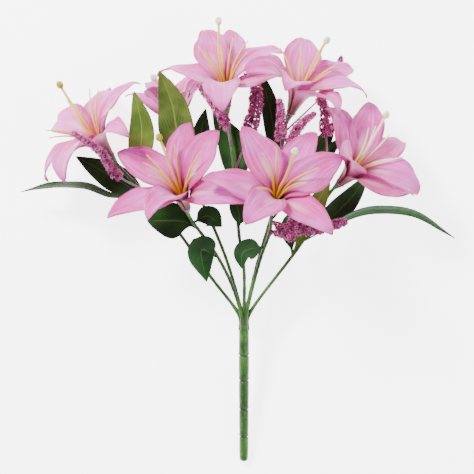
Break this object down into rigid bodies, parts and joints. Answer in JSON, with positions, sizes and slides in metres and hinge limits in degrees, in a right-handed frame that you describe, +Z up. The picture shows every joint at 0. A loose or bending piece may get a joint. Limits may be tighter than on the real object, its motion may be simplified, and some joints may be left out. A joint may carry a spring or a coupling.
{
  "type": "artificial lily bush",
  "caption": "Artificial lily bush: pink satin lilies, green leaves and purple filler sprigs on wired branches that fan out of one jointed plastic handle; it lies on its back.",
  "frame": {"origin": "on the surface the bush lies on, under the middle of its bounding box", "axes": "+Z up from the surface; +Y from the free end of the handle towards the flower heads; +X to the right when the bush is seen from above with its handle towards the viewer"},
  "size_m": [0.3776, 0.3822, 0.1541],
  "materials": {
    "petal_satin": "satin",
    "stamen_plastic": "satin",
    "dark_leaf_fabric": "matte",
    "pale_leaf_fabric": "matte",
    "green_plastic": "matte",
    "sprig_plastic": "matte"
  },
  "bodies": {
    "root": {"branch_back_left": "green_plastic", "branch_front_left": "green_plastic", "branch_front_right": "green_plastic", "branch_left": "green_plastic", "branch_right": "green_plastic", "branch_top": "green_plastic", "branch_top_right": "green_plastic", "handle": "green_plastic", "inner_petals_back_left": "petal_satin", "inner_petals_front_left": "petal_satin", "inner_petals_front_right": "petal_satin", "inner_petals_left": "petal_satin", "inner_petals_right": "petal_satin", "inner_petals_top": "petal_satin", "inner_petals_top_right": "petal_satin", "leaf_back_upright": "pale_leaf_fabric", "leaf_centre_hanging": "dark_leaf_fabric", "leaf_centre_narrow": "dark_leaf_fabric", "leaf_front_left_hanging": "dark_leaf_fabric", "leaf_front_left_short": "dark_leaf_fabric", "leaf_front_left_wide": "dark_leaf_fabric", "leaf_front_right_low": "dark_leaf_fabric", "leaf_left_broad": "dark_leaf_fabric", "leaf_left_low": "dark_leaf_fabric", "leaf_left_upright": "pale_leaf_fabric", "leaf_middle_large": "dark_leaf_fabric", "leaf_middle_small": "dark_leaf_fabric", "leaf_right_back": "dark_leaf_fabric", "leaf_right_broad": "dark_leaf_fabric", "leaf_right_inner": "dark_leaf_fabric", "leaf_right_low": "dark_leaf_fabric", "leaf_right_pale": "pale_leaf_fabric", "leaf_top_long": "dark_leaf_fabric", "outer_petals_back_left": "petal_satin", "outer_petals_front_left": "petal_satin", "outer_petals_front_right": "petal_satin", "outer_petals_left": "petal_satin", "outer_petals_right": "petal_satin", "outer_petals_top": "petal_satin", "outer_petals_top_right": "petal_satin", "sprig_back_left": "sprig_plastic", "sprig_far_right": "sprig_plastic", "sprig_left": "sprig_plastic", "sprig_low_long": "sprig_plastic", "sprig_low_short": "sprig_plastic", "sprig_right_bent": "sprig_plastic", "sprig_slanted": "sprig_plastic", "sprig_tall": "sprig_plastic", "sprig_upright": "sprig_plastic", "stamens_back_left": "stamen_plastic", "stamens_front_left": "stamen_plastic", "stamens_front_right": "stamen_plastic", "stamens_left": "stamen_plastic", "stamens_right": "stamen_plastic", "stamens_top": "stamen_plastic", "stamens_top_right": "stamen_plastic"}
  },
  "joints": []
}
